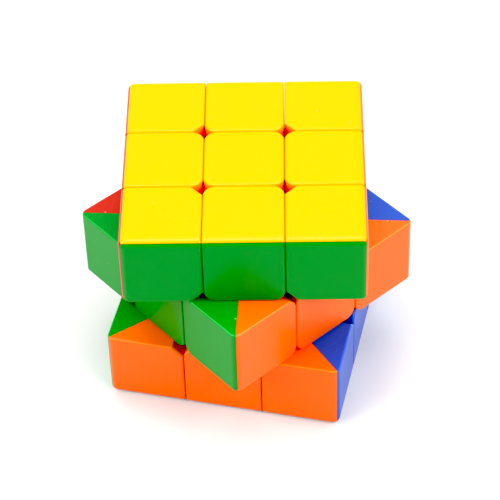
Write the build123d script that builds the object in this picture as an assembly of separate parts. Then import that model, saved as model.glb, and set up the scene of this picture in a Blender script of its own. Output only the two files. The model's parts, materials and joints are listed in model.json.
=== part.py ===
from build123d import *
import math
import os

# Twisty puzzle cube, three layers high, with its layers partly turned.
# Units are millimetres. The origin is the centre of the base and +Z points up.
# Every piece is first made in the solved cube, about the cube's centre.
# Each layer is then turned about the vertical axis and lifted to its place.

# ---------------------------------------------------------------- driving dimensions

cube_size = 56.0            # outside size of the solved cube
layer_gap = 0.1             # clearance between two neighbouring pieces
seam_gap = 0.08             # clearance between the coloured shells of one piece
wall = 1.4                  # thickness of the hollow shells
outer_round = 1.65          # rounding of the cube's own edges
tile_round = 0.5            # rounding of the edges between two tiles
corner_tile_chamfer = 2.7   # straight cut at a corner tile's inner corner
tile_corner_round = 2.8     # rounded inner corners of the edge and centre tiles

middle_turn = -48.1         # middle layer's turn from the top layer, degrees
bottom_turn = -102.3        # bottom layer's turn from the top layer, degrees

# The mechanism lies between the core ball and the spherical inside of the pieces.
foot_cut = 6.0              # distance of the cuts between the feet from the centre
foot_inner_r = 11.15        # inside radius of the feet
foot_outer_r = 19.85        # outside radius of the feet
body_inner_r = 20.15        # inside radius of the edge pieces and the centre flanges
solid_r = 22.0              # the shells are solid up to this radius

peg_r = 0.9                 # locating pegs on the seams
peg_length = 2.0
peg_clearance = 0.05

cap_base = 21.0             # height of a centre cap's open end above the cube's centre
boss_height = 3.0           # part of a centre base that its cap fits over
boss_clearance = 0.08

core_r = 10.85
core_flat = 9.8             # distance of the core's flats from its centre
arm_r = 3.8
arm_end = 13.0
arm_clearance = 0.08        # radial running clearance of a centre base on its arm
arm_end_play = 0.1
base_end_gap = 0.3          # gap between a core flat and its centre base
base_floor = 1.5            # floor that the spring presses on
pocket_r = 2.5              # lightening pockets between the arms
pocket_depth = 5.0

screw_r = 1.45
screw_hole_r = 1.65
pilot_hole_r = 1.5
screw_tip = 4.5             # distance of a screw's tip from the centre
screw_head_r = 2.8
screw_head_height = 2.0
recess_width = 0.8
recess_length = 3.4
recess_depth = 1.2
washer_r = 3.3
washer_hole_r = 1.6
washer_thickness = 0.6
washer_base = 20.6
well_r = 3.7                # well in the centre base for the spring, washer and screw head
spring_wire_r = 0.35
spring_mean_r = 2.8
spring_turns = 5
spring_end_gap = 0.04
spring_grind = 0.15         # depth of the flat ground on each end of a spring

# ---------------------------------------------------------------- derived dimensions

half = cube_size / 2
tile_in = cube_size / 6 + layer_gap / 2      # inner side of the corner and edge pieces
tile_half = cube_size / 6 - layer_gap / 2    # half width of the middle pieces
foot_in = foot_cut + layer_gap / 2
foot_half = foot_cut - layer_gap / 2
cavity_in = tile_in + wall
cavity_half = tile_half - wall
cavity_out = half - wall
cavity_chamfer = corner_tile_chamfer + (math.sqrt(2) - 2) * wall
base_bottom = core_flat + base_end_gap
floor_bottom = arm_end + arm_end_play
floor_top = floor_bottom + base_floor
boss_top = cap_base + boss_height
head_base = washer_base + washer_thickness
big = 2 * cube_size
tolerance = 1e-4

faces = {
    "yellow": Vector(0, 0, 1),
    "white": Vector(0, 0, -1),
    "green": Vector(0, -1, 0),
    "blue": Vector(0, 1, 0),
    "orange": Vector(1, 0, 0),
    "red": Vector(-1, 0, 0),
}
layer_turns = {1: 0.0, 0: middle_turn, -1: bottom_turn}

# ---------------------------------------------------------------- small tools


def box_between(low, high):
    """Box with two opposite corners at low and high."""
    low, high = Vector(*low), Vector(*high)
    size = high - low
    middle = (low + high) * 0.5
    return Pos(middle.X, middle.Y, middle.Z) * Box(size.X, size.Y, size.Z)


def ball(radius):
    """Ball about the cube's centre."""
    return Sphere(radius)


def rod(start, direction, radius, length):
    """Round rod from a start point along a direction."""
    return extrude(Plane(origin=start, z_dir=direction) * Circle(radius), length)


def beyond_plane(normal, distance):
    """Everything further than a distance from the centre along a normal."""
    normal = Vector(*normal).normalized()
    return Plane(origin=normal * distance, z_dir=normal) * Pos(0, 0, big / 2) * Box(big, big, big)


def is_outer_edge(edge):
    """True for an edge along which two outside faces of the cube meet."""
    middle = edge @ 0.5
    return [abs(value - half) < tolerance for value in middle].count(True) == 2


def is_tile_edge(edge):
    """True for an edge where an outside face, or a rounding between two, ends."""
    ends = edge.bounding_box()
    in_face = [low > half - tolerance for low in ends.min].count(True) == 1
    beside_rounding = [low > half - outer_round - tolerance for low in ends.min].count(True)
    on_rounding = beside_rounding == 2 and edge.geom_type != GeomType.LINE
    along_rounding = beside_rounding >= 2 and edge.geom_type == GeomType.LINE
    return (in_face or on_rounding) and not along_rounding


def round_tile(block):
    """Round a piece's outside edges, then the edges where its tiles end."""
    block = fillet(block.edges().filter_by(is_outer_edge), outer_round)
    return fillet(block.edges().filter_by(is_tile_edge), tile_round)


# ---------------------------------------------------------------- corner pieces


def corner_tile_profile(inner, outer, cut):
    """Square corner tile seen from outside, with its inner corner cut straight."""
    return Polyline(
        (inner + cut, inner), (outer, inner), (outer, outer), (inner, outer), (inner, inner + cut),
        close=True,
    )


def cut_corner_block(inner, outer, cut):
    """Cube between two distances, its three inner edges cut straight."""
    outline = make_face(corner_tile_profile(inner, outer, cut))
    block = Pos(0, 0, inner) * extrude(outline, outer - inner)
    for plane in (Plane(origin=(inner, 0, 0), x_dir=(0, 1, 0), z_dir=(1, 0, 0)),
                  Plane(origin=(0, inner, 0), x_dir=(0, 0, 1), z_dir=(0, 1, 0))):
        block = block & extrude(plane * outline, outer - inner)
    return block


def corner_piece():
    """Whole corner piece where x, y and z are positive, before it is parted."""
    shell = round_tile(cut_corner_block(tile_in, half, corner_tile_chamfer))
    cavity = cut_corner_block(cavity_in, cavity_out, cavity_chamfer) - ball(solid_r)
    root = box_between([tile_in] * 3, [half] * 3) & ball(solid_r)
    foot = (box_between([foot_in] * 3, [half] * 3) & ball(foot_outer_r)) - ball(foot_inner_r)
    return shell - cavity + root + foot


def corner_shell():
    """The third of a corner piece that carries its +Z tile.

    All thirds are alike: each has a peg on one seam and a socket on the other.
    """
    third = corner_piece()
    third = third & beyond_plane((-1, 0, 1), seam_gap / 2) & beyond_plane((0, -1, 1), seam_gap / 2)
    peg_low, peg_high = 8.0, 11.8
    out = Vector(1, 0, -1).normalized()
    into = Vector(0, -1, 1).normalized()
    peg = rod(Vector(peg_high, peg_low, peg_high) - out * peg_length, out, peg_r, 2 * peg_length)
    socket = rod(Vector(peg_low, peg_high, peg_high) - into * seam_gap, into,
                 peg_r + peg_clearance, peg_length + peg_clearance + 2 * seam_gap)
    return third + peg - socket


# ---------------------------------------------------------------- edge pieces


def edge_tile_outline():
    """Edge tile seen from outside, its two inner corners rounded."""
    tile = Pos((tile_in + half) / 2, 0) * Rectangle(half - tile_in, 2 * tile_half)
    inner_corners = tile.vertices().sort_by(Axis.X)[:2]
    return fillet(inner_corners, tile_corner_round)


def edge_piece():
    """Whole edge piece where x and z are positive, before it is parted."""
    outline = edge_tile_outline()
    from_top = Pos(0, 0, tile_in) * extrude(outline, half - tile_in)
    side_plane = Plane(origin=(tile_in, 0, 0), x_dir=(0, 0, 1), z_dir=(1, 0, 0))
    from_side = extrude(side_plane * outline, half - tile_in)
    shell = round_tile(from_top & from_side) - ball(body_inner_r)
    cavity = box_between((cavity_in, -cavity_half, cavity_in), (cavity_out, cavity_half, cavity_out))
    cavity = cavity - ball(solid_r)
    neck = box_between((tile_in, -foot_half, tile_in), (half, foot_half, half)) & ball(solid_r)
    foot = box_between((foot_in, -foot_half, foot_in), (half, foot_half, half)) & ball(foot_outer_r)
    return shell - cavity + (neck + foot - ball(foot_inner_r))


def edge_shell():
    """The half of an edge piece that carries its +Z tile, with a peg and a socket."""
    peg_side, peg_out = 3.0, 11.4
    out = Vector(1, 0, -1).normalized()
    half_piece = edge_piece() & beyond_plane((-1, 0, 1), seam_gap / 2)
    peg = rod(Vector(peg_out, peg_side, peg_out) - out * peg_length, out, peg_r, 2 * peg_length)
    socket = rod(Vector(peg_out, -peg_side, peg_out) + out * seam_gap, out * -1,
                 peg_r + peg_clearance, peg_length + peg_clearance + 2 * seam_gap)
    return half_piece + peg - socket


# ---------------------------------------------------------------- centre pieces


def center_cap():
    """Hollow cap of the +Z centre, open towards the core."""
    outline = RectangleRounded(2 * tile_half, 2 * tile_half, tile_corner_round)
    cap = Pos(0, 0, cap_base) * extrude(outline, half - cap_base)
    cap = fillet(cap.faces().sort_by(Axis.Z)[-1].edges(), tile_round)
    inside = RectangleRounded(2 * cavity_half, 2 * cavity_half, tile_corner_round - wall)
    return cap - Pos(0, 0, cap_base) * extrude(inside, cavity_out - cap_base)


def center_base():
    """Carrier of the +Z centre: it turns on a core arm and holds the cap and spring."""
    stalk = box_between((-foot_half, -foot_half, base_bottom), (foot_half, foot_half, cap_base))
    flange = RectangleRounded(2 * tile_half, 2 * tile_half, tile_corner_round)
    flange = Pos(0, 0, tile_in) * extrude(flange, cap_base - tile_in) - ball(body_inner_r)
    boss_width = 2 * (cavity_half - boss_clearance)
    boss = RectangleRounded(boss_width, boss_width, tile_corner_round - wall - boss_clearance)
    boss = Pos(0, 0, cap_base) * extrude(boss, boss_height)
    base = stalk + flange + boss
    up = (0, 0, 1)
    arm_bore = rod((0, 0, base_bottom - 1), up, arm_r + arm_clearance, floor_bottom - base_bottom + 1)
    screw_hole = rod((0, 0, base_bottom), up, screw_hole_r, boss_top - base_bottom)
    well = rod((0, 0, floor_top), up, well_r, boss_top - floor_top + 1)
    return base - arm_bore - screw_hole - well


# ---------------------------------------------------------------- core, screws and springs


def core():
    """Six-armed core that the six screws go into."""
    body = ball(core_r) & Box(2 * core_flat, 2 * core_flat, 2 * core_flat)
    for direction in faces.values():
        body = body + rod((0, 0, 0), direction, arm_r, arm_end)
    for direction in faces.values():
        body = body - rod(direction * (screw_tip - 0.2), direction, pilot_hole_r, arm_end)
    for x in (-1, 1):
        for y in (-1, 1):
            for z in (-1, 1):
                diagonal = Vector(x, y, z).normalized()
                pocket = rod(diagonal * (core_r - pocket_depth), diagonal, pocket_r, 2 * pocket_depth)
                body = body - pocket
    return body


def screw():
    """Pan-head screw of the +Z arm, with a cross recess."""
    up = (0, 0, 1)
    shank = rod((0, 0, screw_tip), up, screw_r, head_base - screw_tip)
    shank = chamfer(shank.faces().sort_by(Axis.Z)[0].edges(), screw_r / 2)
    head = rod((0, 0, head_base), up, screw_head_r, screw_head_height)
    head = fillet(head.faces().sort_by(Axis.Z)[-1].edges(), screw_head_height / 3)
    slot = Box(recess_length, recess_width, 2 * recess_depth)
    cross = slot + Rot(0, 0, 90) * slot
    return shank + head - Pos(0, 0, head_base + screw_head_height) * cross


def washer():
    """Flat washer between the spring and the screw head of the +Z arm."""
    ring = Circle(washer_r) - Circle(washer_hole_r)
    return Pos(0, 0, washer_base) * extrude(ring, washer_thickness - spring_end_gap)


def spring():
    """Compression spring of the +Z centre, with both ends ground flat."""
    low = floor_top + spring_end_gap
    high = washer_base - spring_end_gap
    path_low = low + spring_wire_r - spring_grind
    path_high = high - spring_wire_r + spring_grind
    height = path_high - path_low
    path = Pos(0, 0, path_low) * Helix(height / spring_turns, height, spring_mean_r)
    section = Plane(origin=path @ 0, z_dir=path % 0) * Circle(spring_wire_r)
    coil = sweep(section, path=path, is_frenet=True)
    return coil & box_between((-well_r, -well_r, low), (well_r, well_r, high))


# ---------------------------------------------------------------- placing and writing


def towards(face_axis, side_axis):
    """Placement that takes +Z to one face of the cube and +X to another."""
    return Plane(origin=(0, 0, 0), x_dir=side_axis, z_dir=face_axis).location


def in_layer(layer):
    """Placement of a layer in the twisted cube: turned, and lifted onto its base."""
    return Location((0, 0, half), (0, 0, layer_turns[layer]))


def layer_of(colours):
    """1 for the top layer, 0 for the middle layer and -1 for the bottom layer."""
    return round(sum(faces[colour].Z for colour in colours))


def write(shape, name):
    """Write one node."""
    export_step(shape, f"parts/{name}.step")


def write_corners(shell):
    """Write the three coloured shells of each of the eight corner pieces."""
    for top in ("yellow", "white"):
        for front in ("green", "blue"):
            for side in ("orange", "red"):
                colours = [top, front, side]
                order = [faces[colour] for colour in colours]
                if order[0].cross(order[1]).dot(order[2]) < 0:
                    colours = [top, side, front]
                for index, colour in enumerate(colours):
                    following = colours[(index + 1) % 3]
                    placed = in_layer(layer_of(colours)) * towards(faces[colour], faces[following]) * shell
                    write(placed, f"corner_{top}_{front}_{side}_{colour}_shell")


def write_edges(shell):
    """Write the two coloured shells of each of the twelve edge pieces."""
    names = list(faces)
    for index, first in enumerate(names):
        for second in names[index + 1:]:
            if faces[first].dot(faces[second]) < 0:
                continue
            place = in_layer(layer_of((first, second)))
            write(place * towards(faces[first], faces[second]) * shell,
                  f"edge_{first}_{second}_{first}_shell")
            write(place * towards(faces[second], faces[first]) * shell,
                  f"edge_{first}_{second}_{second}_shell")


def write_centers(cap, base):
    """Write the six centre caps, and the centre bases of each layer."""
    side_bases = []
    for colour, axis in faces.items():
        side = faces["blue"] if abs(axis.Z) > 0.5 else faces["yellow"]
        place = in_layer(layer_of((colour,))) * towards(axis, side)
        write(place * cap, f"center_{colour}_cap")
        if axis.Z > 0.5:
            write(place * base, "top_center_base")
        elif axis.Z < -0.5:
            write(place * base, "bottom_center_base")
        else:
            side_bases.append(place * base)
    write(Compound(side_bases), "side_center_bases")


def write_core():
    """Write the core and what is screwed to it: they stay with the middle layer."""
    place = in_layer(0)
    fasteners = []
    springs = []
    for axis in faces.values():
        side = faces["blue"] if abs(axis.Z) > 0.5 else faces["yellow"]
        arm = place * towards(axis, side)
        fasteners += [arm * screw(), arm * washer()]
        springs.append(arm * spring())
    write(place * core(), "core")
    write(Compound(fasteners), "core_screws_and_washers")
    write(Compound(springs), "center_springs")


os.makedirs("parts", exist_ok=True)
write_corners(corner_shell())
write_edges(edge_shell())
write_centers(center_cap(), center_base())
write_core()
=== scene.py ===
import json
import math

import bmesh
import bpy
from mathutils import Matrix, Vector

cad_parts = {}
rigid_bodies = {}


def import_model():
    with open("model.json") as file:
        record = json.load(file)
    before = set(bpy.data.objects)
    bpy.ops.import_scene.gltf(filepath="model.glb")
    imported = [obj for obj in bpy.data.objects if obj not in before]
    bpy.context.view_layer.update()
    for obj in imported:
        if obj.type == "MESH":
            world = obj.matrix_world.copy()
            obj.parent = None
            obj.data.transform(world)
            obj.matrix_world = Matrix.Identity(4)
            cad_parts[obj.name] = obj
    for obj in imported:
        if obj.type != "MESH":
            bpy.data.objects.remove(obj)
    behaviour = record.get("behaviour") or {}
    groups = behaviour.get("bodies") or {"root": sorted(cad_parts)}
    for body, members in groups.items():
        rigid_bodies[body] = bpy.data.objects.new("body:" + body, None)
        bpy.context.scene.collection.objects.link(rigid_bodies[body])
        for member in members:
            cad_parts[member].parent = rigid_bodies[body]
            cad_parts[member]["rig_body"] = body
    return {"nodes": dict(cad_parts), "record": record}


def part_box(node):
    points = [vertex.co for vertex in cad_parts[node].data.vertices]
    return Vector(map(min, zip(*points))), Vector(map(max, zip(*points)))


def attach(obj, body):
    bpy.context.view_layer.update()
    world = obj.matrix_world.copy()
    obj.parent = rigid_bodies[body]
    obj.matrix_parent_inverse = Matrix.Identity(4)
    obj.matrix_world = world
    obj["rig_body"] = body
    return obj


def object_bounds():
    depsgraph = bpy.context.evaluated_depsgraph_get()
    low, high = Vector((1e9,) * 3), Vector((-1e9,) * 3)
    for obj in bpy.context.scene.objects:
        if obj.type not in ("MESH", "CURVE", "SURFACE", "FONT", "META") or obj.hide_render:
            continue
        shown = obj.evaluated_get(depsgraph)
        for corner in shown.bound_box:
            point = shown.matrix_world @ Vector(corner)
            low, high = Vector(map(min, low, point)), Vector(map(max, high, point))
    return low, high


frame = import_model()
cad_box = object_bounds()

MM = 0.001
SLOTS = {part["node"]: part["material_slot"] for part in frame["record"]["subparts"]}
HALF = (cad_box[1][2] - cad_box[0][2]) / 2
CENTRE = Vector((0, 0, cad_box[0][2] + HALF))

SURROUND_FRONT = 0.25        # radiance of the white surround
SURROUND_BACK = 1.1
BLACK_LEVEL = 0.05

# ---------------------------------------------------------------- camera

VIEW_AZIMUTH = math.radians(1.6)
VIEW_ELEVATION = math.radians(44.5)
VIEW_ROLL = math.radians(-1.8)
VIEW_DISTANCE = 543 * MM
VIEW_TARGET = Vector((0.72, 0, 26.17)) * MM
LENS = 163.0                 # millimetres, on a sensor 36 mm wide


def add_camera():
    """Camera that looks at the cube from the front, half from above, slightly rolled."""
    data = bpy.data.cameras.new("camera")
    data.lens = LENS
    data.sensor_width = 36
    data.clip_start = 0.01
    data.clip_end = 20
    camera = bpy.data.objects.new("camera", data)
    bpy.context.scene.collection.objects.link(camera)
    level = math.cos(VIEW_ELEVATION)
    back = Vector((math.sin(VIEW_AZIMUTH) * level, -math.cos(VIEW_AZIMUTH) * level, math.sin(VIEW_ELEVATION)))
    right = Vector((0, 0, 1)).cross(back).normalized()
    up = back.cross(right)
    turned_right = right * math.cos(VIEW_ROLL) + up * math.sin(VIEW_ROLL)
    turned_up = up * math.cos(VIEW_ROLL) - right * math.sin(VIEW_ROLL)
    camera.matrix_world = (
        Matrix.Translation(VIEW_TARGET + back * VIEW_DISTANCE)
        @ Matrix((turned_right, turned_up, back)).transposed().to_4x4()
    )
    bpy.context.scene.camera = camera


# ---------------------------------------------------------------- materials

# Each plastic's colour on its outer face, and the painted shade colour it takes deep in a gap, standing in for
# light that bounces between the walls.
PLASTICS = {
    "yellow_plastic": ((0.98, 0.405, 0.0), (0.98, 0.11, 0.0)),
    "white_plastic": ((0.85, 0.85, 0.83), (0.75, 0.7, 0.64)),
    "green_plastic": ((0.0, 0.275, 0.018), (0.0, 0.3, 0.02)),
    "blue_plastic": ((0.025, 0.09, 0.5), (0.005, 0.02, 0.3)),
    "orange_plastic": ((0.98, 0.145, 0.016), (0.8, 0.03, 0.0)),
    "red_plastic": ((0.5, 0.027, 0.012), (0.3, 0.005, 0.003)),
}
PLASTIC_IOR = 1.4
GLOSS = (0.30, 0.36)         # roughness; a range that crosses about 0.27 renders blotchy
FLOW_SHADE = 0.98            # darkest part of the plastic's slow colour variation
WAVE_HEIGHT = 0.02 * MM      # slow waviness of the moulded faces
GRAIN_HEIGHT = 0.0012 * MM
GAP_SHADE_START = 0.4 * MM         # depth where the painted shade in the gaps starts
GAP_SHADE_END = 2.6 * MM          # depth where the painted shade is deepest
SPECK_PITCH = 2.5 * MM
SPECK_SIZE = 0.12 * MM       # radius of a speck of dust
SPECK_RARITY = 0.8           # share of the cells that have no speck
SPECK_STRENGTH = 0.3
DUST_COLOUR = (0.8, 0.8, 0.76)
RUB_SCALE = 2600             # streaks per metre of radius, roughly
RUB_STRENGTH = 0.018
# Painted highlight: a lighter, whiter band of the plastic's own colour on the rounded edges where the layers meet.
EDGE_DEPTH = 0.5 * MM        # how far the painted highlight on the rounded edge of a tile reaches below its outer face
EDGE_SOFTNESS = 0.1 * MM
EDGE_HIGHLIGHT_GAIN = 1.55
EDGE_HIGHLIGHT_WHITENING = 0.012
CUBE_EDGE = 1.8 * MM         # the rounding of the cube's own edges lies within this
FACE_TOLERANCE = 0.005 * MM
STEEL_VARIATION = 0.06       # how far a steel's roughness strays each way
TABLE_ALBEDO = 0.72
TABLE_ROUGHNESS = 0.45
TABLE_HALF_WIDTH = 3.0
AIM_HEIGHT = 28 * MM         # the softboxes face this point on the cube's axis


def new_material(name):
    """Empty node material with its Principled shader wired to the output."""
    material = bpy.data.materials.new(name)
    material.use_nodes = True
    tree = material.node_tree
    tree.nodes.clear()
    output = tree.nodes.new("ShaderNodeOutputMaterial")
    shader = tree.nodes.new("ShaderNodeBsdfPrincipled")
    tree.links.new(shader.outputs["BSDF"], output.inputs["Surface"])
    return material, tree, shader


def noise(tree, coordinates, scale, detail=2.0, roughness=0.5):
    """Noise texture in object space; scale is in cells per metre."""
    node = tree.nodes.new("ShaderNodeTexNoise")
    node.inputs["Scale"].default_value = scale
    node.inputs["Detail"].default_value = detail
    node.inputs["Roughness"].default_value = roughness
    tree.links.new(coordinates, node.inputs["Vector"])
    return node.outputs["Fac"]


def spread(tree, value, low, high):
    """A value from 0 to 1 spread over a range."""
    node = tree.nodes.new("ShaderNodeMapRange")
    node.inputs["To Min"].default_value = low
    node.inputs["To Max"].default_value = high
    tree.links.new(value, node.inputs["Value"])
    return node.outputs["Result"]


def object_space(tree):
    """Coordinates fixed to the piece."""
    return tree.nodes.new("ShaderNodeTexCoord").outputs["Object"]


def add_bump(tree, shader, heights):
    """Bump from a list of (height value, depth in metres), finest last."""
    normal = None
    for height, depth in heights:
        bump = tree.nodes.new("ShaderNodeBump")
        bump.inputs["Strength"].default_value = 1.0
        bump.inputs["Distance"].default_value = depth
        tree.links.new(height, bump.inputs["Height"])
        if normal:
            tree.links.new(normal, bump.inputs["Normal"])
        normal = bump.outputs["Normal"]
    tree.links.new(normal, shader.inputs["Normal"])


def combine(tree, operation, *values):
    """Math node; each value is a number or an output."""
    node = tree.nodes.new("ShaderNodeMath")
    node.operation = operation
    for socket, value in zip(node.inputs, values):
        if isinstance(value, (int, float)):
            socket.default_value = value
        else:
            tree.links.new(value, socket)
    return node.outputs["Value"]


def ramp(tree, value, start, end):
    """0 up to start, 1 from end on, smooth between."""
    node = tree.nodes.new("ShaderNodeMapRange")
    node.interpolation_type = "SMOOTHSTEP"
    node.inputs["From Min"].default_value = start
    node.inputs["From Max"].default_value = end
    tree.links.new(value, node.inputs["Value"])
    return node.outputs["Result"]


def blend_colours(tree, factor, first, second):
    """Mix of two colours; each is three numbers or an output."""
    node = tree.nodes.new("ShaderNodeMix")
    node.data_type = "RGBA"
    tree.links.new(factor, node.inputs["Factor"])
    for socket, colour in zip((node.inputs["A"], node.inputs["B"]), (first, second)):
        if isinstance(colour, tuple):
            socket.default_value = (*colour, 1)
        else:
            tree.links.new(colour, socket)
    return node.outputs["Result"]


def depth_below_face(tree, place, facing):
    """Distance in metres below the plane of the outer face."""
    along = tree.nodes.new("ShaderNodeVectorMath")
    along.operation = "DOT_PRODUCT"
    along.inputs[1].default_value = facing
    tree.links.new(place, along.inputs[0])
    return combine(tree, "SUBTRACT", HALF + CENTRE.dot(facing), along.outputs["Value"])


def painted_edge_highlight_mask(tree, place, depth):
    """Mask of a painted highlight: an uneven band where an outer face rounds over into a level mating face; 0 on
    the cube's own edges.
    """
    parts = tree.nodes.new("ShaderNodeSeparateXYZ")
    tree.links.new(place, parts.inputs["Vector"])
    height = combine(tree, "ABSOLUTE", combine(tree, "SUBTRACT", parts.outputs["Z"], CENTRE.z))
    inside = combine(tree, "SUBTRACT", 1.0, ramp(tree, height, HALF - CUBE_EDGE, HALF - CUBE_EDGE + EDGE_SOFTNESS))
    slope = combine(tree, "SUBTRACT", levelness(tree, 0.15, 0.6), levelness(tree, 0.85, 0.99))
    shallow = combine(tree, "SUBTRACT", 1.0, ramp(tree, depth, EDGE_DEPTH, EDGE_DEPTH + EDGE_SOFTNESS))
    uneven = spread(tree, noise(tree, place, 260, 3), 0.5, 1.0)
    band = combine(tree, "MULTIPLY", combine(tree, "MULTIPLY", slope, shallow), inside)
    return combine(tree, "MULTIPLY", band, uneven)


def gap_shade_mask(tree, depth):
    """Mask of the painted shade in the gaps between tiles, by how deep a point lies, from 0 on the outer face to
    1; 0 on level faces.
    """
    upright = combine(tree, "SUBTRACT", 1.0, levelness(tree, 0.5, 0.95))
    return combine(tree, "MULTIPLY", ramp(tree, depth, GAP_SHADE_START, GAP_SHADE_END), upright)


def levelness(tree, start, end):
    """1 where the surface is level, 0 where it is upright."""
    parts = tree.nodes.new("ShaderNodeSeparateXYZ")
    tree.links.new(tree.nodes.new("ShaderNodeTexCoord").outputs["Normal"], parts.inputs["Vector"])
    return ramp(tree, combine(tree, "ABSOLUTE", parts.outputs["Z"]), start, end)


def rub_marks(tree, place):
    """Faint arcs about the turning axis, which the layers rub into each other's level faces."""
    parts = tree.nodes.new("ShaderNodeSeparateXYZ")
    tree.links.new(place, parts.inputs["Vector"])
    across, along = parts.outputs["X"], parts.outputs["Y"]
    radius = combine(tree, "SQRT", combine(tree, "ADD", combine(tree, "MULTIPLY", across, across),
                                           combine(tree, "MULTIPLY", along, along)))
    polar = tree.nodes.new("ShaderNodeCombineXYZ")
    tree.links.new(radius, polar.inputs["X"])
    angle = combine(tree, "ARCTAN2", along, across)
    tree.links.new(combine(tree, "MULTIPLY", angle, 1 * MM), polar.inputs["Y"])
    streaks = ramp(tree, noise(tree, polar.outputs["Vector"], RUB_SCALE, 3, 0.6), 0.5, 0.75)
    return combine(tree, "MULTIPLY", streaks, levelness(tree, 0.95, 0.999))


def dust(tree, place):
    """1 in a few small specks, 0 elsewhere."""
    cells = tree.nodes.new("ShaderNodeTexVoronoi")
    cells.inputs["Scale"].default_value = 1 / SPECK_PITCH
    tree.links.new(place, cells.inputs["Vector"])
    parts = tree.nodes.new("ShaderNodeSeparateColor")
    tree.links.new(cells.outputs["Color"], parts.inputs["Color"])
    chosen = combine(tree, "GREATER_THAN", parts.outputs["Red"], SPECK_RARITY)
    near = combine(tree, "LESS_THAN", cells.outputs["Distance"], SPECK_SIZE / SPECK_PITCH)
    return combine(tree, "MULTIPLY", combine(tree, "MULTIPLY", chosen, near), SPECK_STRENGTH)


def moulded_plastic(name, colour, painted_gap_shade, facing):
    """Satin-gloss plastic, coloured through, with painted shade that deepens its colour in the gaps, where light
    bounces about, and a painted highlight on the rounded edges where the layers meet.
    """
    material, tree, shader = new_material(name)
    place = object_space(tree)
    shaded = tuple(channel * FLOW_SHADE for channel in colour)
    flow = blend_colours(tree, noise(tree, place, 45, 3), shaded, colour)
    depth = depth_below_face(tree, place, facing)
    # Painted shade: the colour turns towards the gap colour deep in the gaps between tiles, standing in for light
    # that bounces between the walls.
    skin = blend_colours(tree, gap_shade_mask(tree, depth), flow, painted_gap_shade)
    if abs(facing.z) < 0.5:
        rubbed = combine(tree, "MULTIPLY", rub_marks(tree, place), RUB_STRENGTH)
        skin = blend_colours(tree, rubbed, skin, DUST_COLOUR)
    # Painted highlight: a lighter, whiter band of the plastic's own colour on the rounded edges where the layers
    # meet.
    light = tuple(min(1.0, channel * EDGE_HIGHLIGHT_GAIN + EDGE_HIGHLIGHT_WHITENING) for channel in colour)
    skin = blend_colours(tree, painted_edge_highlight_mask(tree, place, depth), skin, light)
    dusty = blend_colours(tree, dust(tree, place), skin, DUST_COLOUR)
    tree.links.new(dusty, shader.inputs["Base Color"])
    tree.links.new(spread(tree, noise(tree, place, 160, 4, 0.6), *GLOSS), shader.inputs["Roughness"])
    shader.inputs["IOR"].default_value = PLASTIC_IOR
    waves, grain = noise(tree, place, 90, 1), noise(tree, place, 1500, 2)
    add_bump(tree, shader, [(waves, WAVE_HEIGHT), (grain, GRAIN_HEIGHT)])
    return material


def nylon(name, colour):
    """Slightly translucent, waxy moulded plastic."""
    material, tree, shader = new_material(name)
    place = object_space(tree)
    shader.inputs["Base Color"].default_value = (*colour, 1)
    tree.links.new(spread(tree, noise(tree, place, 300, 3), 0.42, 0.55), shader.inputs["Roughness"])
    shader.inputs["Subsurface Weight"].default_value = 0.15
    shader.inputs["Subsurface Radius"].default_value = (0.001, 0.001, 0.0008)
    add_bump(tree, shader, [(noise(tree, place, 1200, 2), 0.003 * MM)])
    return material


def steel(name, colour, roughness):
    """Plated or drawn steel."""
    material, tree, shader = new_material(name)
    place = object_space(tree)
    shader.inputs["Base Color"].default_value = (*colour, 1)
    shader.inputs["Metallic"].default_value = 1.0
    uneven = spread(tree, noise(tree, place, 900, 3), roughness - STEEL_VARIATION, roughness + STEEL_VARIATION)
    tree.links.new(uneven, shader.inputs["Roughness"])
    add_bump(tree, shader, [(noise(tree, place, 2500, 2), 0.002 * MM)])
    return material


def facing_of(node):
    """Direction that a shell's outer face looks in, from the triangles that lie in a face of the cube."""
    total = Vector((0, 0, 0))
    for face in node.data.polygons:
        if abs((face.center - CENTRE).dot(face.normal) - HALF) < FACE_TOLERANCE:
            total += face.normal * face.area
    return total.normalized()


def dress_cad_nodes():
    """Give every CAD node the material of its slot; shells share one for each colour and layer."""
    inner = {
        "base_nylon": nylon("base_nylon", (0.78, 0.78, 0.74)),
        "core_nylon": nylon("core_nylon", (0.74, 0.74, 0.7)),
        "screw_steel": steel("screw_steel", (0.62, 0.62, 0.64), 0.3),
        "spring_steel": steel("spring_steel", (0.5, 0.5, 0.52), 0.26),
    }
    shells = {}
    for name, node in frame["nodes"].items():
        slot = SLOTS[name]
        node.data.materials.clear()
        if slot in inner:
            node.data.materials.append(inner[slot])
            continue
        shell = f"{slot}_{node['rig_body']}"
        if shell not in shells:
            shells[shell] = moulded_plastic(shell, *PLASTICS[slot], facing_of(node))
        node.data.materials.append(shells[shell])


# ---------------------------------------------------------------- moulding nubs

NUB_IN = 5.4 * MM            # distance in from an edge piece's outer corner
NUB_ASIDE = 0.3 * MM         # distance from the seam, clockwise seen from above
NUB_WIDTH = 0.5 * MM
NUB_HEIGHT = 0.045 * MM      # under half of the clearance between two layers
NUB_RINGS = 4
NUB_SIDES = 16
# Painted highlight: the nubs are coloured their side's plastic made lighter and whiter.
NUB_HIGHLIGHT_GAIN = 1.6
NUB_HIGHLIGHT_WHITENING = 0.12


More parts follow.
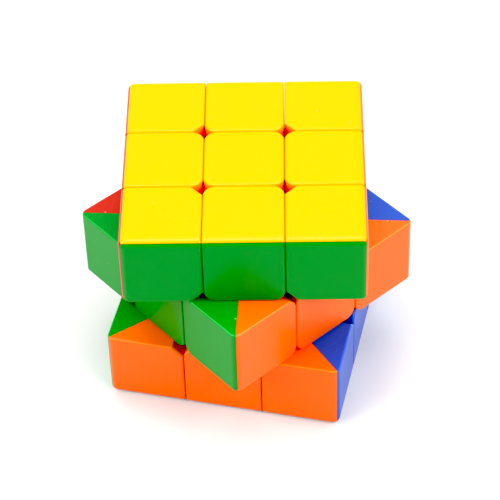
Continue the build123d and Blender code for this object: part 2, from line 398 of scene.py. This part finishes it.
def nub_mesh():
    """Low round dome that stands on the XY plane."""
    mesh = bpy.data.meshes.new("moulding_nub")
    form = bmesh.new()
    rings = []
    for step in range(NUB_RINGS):
        tilt = math.pi / 2 * step / NUB_RINGS
        reach = NUB_WIDTH / 2 * math.cos(tilt)
        rings.append([
            form.verts.new((reach * math.cos(turn), reach * math.sin(turn), NUB_HEIGHT * math.sin(tilt)))
            for turn in (2 * math.pi * side / NUB_SIDES for side in range(NUB_SIDES))
        ])
    tip = form.verts.new((0, 0, NUB_HEIGHT))
    for side in range(NUB_SIDES):
        after = (side + 1) % NUB_SIDES
        for low, high in zip(rings, rings[1:]):
            form.faces.new((low[side], low[after], high[after], high[side]))
        form.faces.new((rings[-1][side], rings[-1][after], tip))
    form.faces.new(reversed(rings[0]))
    for face in form.faces:
        face.smooth = len(face.verts) < NUB_SIDES
    form.to_mesh(mesh)
    form.free()
    return mesh


def add_nubs():
    """A nub beside the seam of each middle edge piece, on its top and bottom faces, clockwise of the seam."""
    for colour, other in (("green", "orange"), ("red", "green"), ("blue", "red"), ("orange", "blue")):
        edge = "edge_" + "_".join(sorted((colour, other), key=["green", "blue", "orange", "red"].index))
        own, next_to = (frame["nodes"][f"{edge}_{side}_shell"] for side in (colour, other))
        seam = (facing_of(own) + facing_of(next_to)).normalized()
        aside = Vector((0, 0, -1)).cross(seam)
        place = seam * (cad_box[1][0] - NUB_IN) + aside * NUB_ASIDE
        low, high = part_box(own.name)
        # Painted highlight: each nub is its side's plastic colour made lighter and whiter.
        nub_highlight_colour = tuple(min(1.0, channel * NUB_HIGHLIGHT_GAIN + NUB_HIGHLIGHT_WHITENING)
                     for channel in PLASTICS[f"{colour}_plastic"][0])
        material = nylon(f"nub_{colour}", nub_highlight_colour)
        for end, height, upright in (("top", high[2], 1), ("bottom", low[2], -1)):
            nub = bpy.data.objects.new(f"nub_{colour}_{end}", nub_mesh())
            way_up = Matrix.Diagonal((1, upright, upright, 1))
            nub.matrix_world = Matrix.Translation((place.x, place.y, height)) @ way_up
            nub.data.materials.append(material)
            bpy.context.scene.collection.objects.link(nub)
            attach(nub, "middle_layer")


# ---------------------------------------------------------------- floor and lights


def add_floor():
    """Plain pale table top."""
    mesh = bpy.data.meshes.new("floor")
    form = bmesh.new()
    bmesh.ops.create_grid(form, x_segments=1, y_segments=1, size=TABLE_HALF_WIDTH)
    form.to_mesh(mesh)
    form.free()
    floor = bpy.data.objects.new("floor", mesh)
    bpy.context.scene.collection.objects.link(floor)
    material, _, shader = new_material("table_top")
    shader.inputs["Base Color"].default_value = (TABLE_ALBEDO, TABLE_ALBEDO, TABLE_ALBEDO, 1)
    shader.inputs["Roughness"].default_value = TABLE_ROUGHNESS
    mesh.materials.append(material)


def add_softbox(name, azimuth, elevation, distance, size, power):
    """Square soft light that faces the cube; azimuth is in degrees from the front towards the right."""
    data = bpy.data.lights.new(name, "AREA")
    data.shape = "SQUARE"
    data.size = size
    data.energy = power
    light = bpy.data.objects.new(name, data)
    bpy.context.scene.collection.objects.link(light)
    turn = math.radians(azimuth)
    height = math.radians(elevation)
    aim = Vector((math.sin(turn) * math.cos(height), -math.cos(turn) * math.cos(height), math.sin(height)))
    light.location = Vector((0, 0, AIM_HEIGHT)) + aim * distance
    light.rotation_euler = aim.to_track_quat("Z", "Y").to_euler()


def add_surround():
    """White surround, dimmer in front than behind."""
    world = bpy.data.worlds.new("studio")
    world.use_nodes = True
    tree = world.node_tree
    parts = tree.nodes.new("ShaderNodeSeparateXYZ")
    tree.links.new(tree.nodes.new("ShaderNodeTexCoord").outputs["Generated"], parts.inputs["Vector"])
    strength = tree.nodes.new("ShaderNodeMapRange")
    strength.inputs["From Min"].default_value = -0.5
    strength.inputs["From Max"].default_value = 0.6
    strength.inputs["To Min"].default_value = SURROUND_FRONT
    strength.inputs["To Max"].default_value = SURROUND_BACK
    tree.links.new(parts.outputs["Y"], strength.inputs["Value"])
    tree.links.new(strength.outputs["Result"], tree.nodes["Background"].inputs["Strength"])
    tree.nodes["Background"].inputs["Color"].default_value = (1, 1, 1, 1)
    bpy.context.scene.world = world


def set_exposure():
    """Plain display transform with slightly deepened blacks, and enough bounces for the gaps."""
    scene = bpy.context.scene
    scene.view_settings.view_transform = "Standard"
    scene.view_settings.use_curve_mapping = True
    scene.view_settings.curve_mapping.black_level = (BLACK_LEVEL, BLACK_LEVEL, BLACK_LEVEL)
    scene.cycles.max_bounces = 16
    scene.cycles.diffuse_bounces = 10
    scene.cycles.glossy_bounces = 6


def add_studio():
    """Soft lights overhead and on both sides, in a white surround."""
    add_surround()
    add_softbox("overhead_softbox", 180, 80, 1.1, 0.8, 7.5)
    add_softbox("left_softbox", -68, 38, 1.25, 0.9, 12.5)
    add_softbox("right_softbox", 60, 42, 1.25, 0.9, 13.0)
    set_exposure()


# ---------------------------------------------------------------- the scene

add_camera()
dress_cad_nodes()
add_nubs()
add_floor()
add_studio()
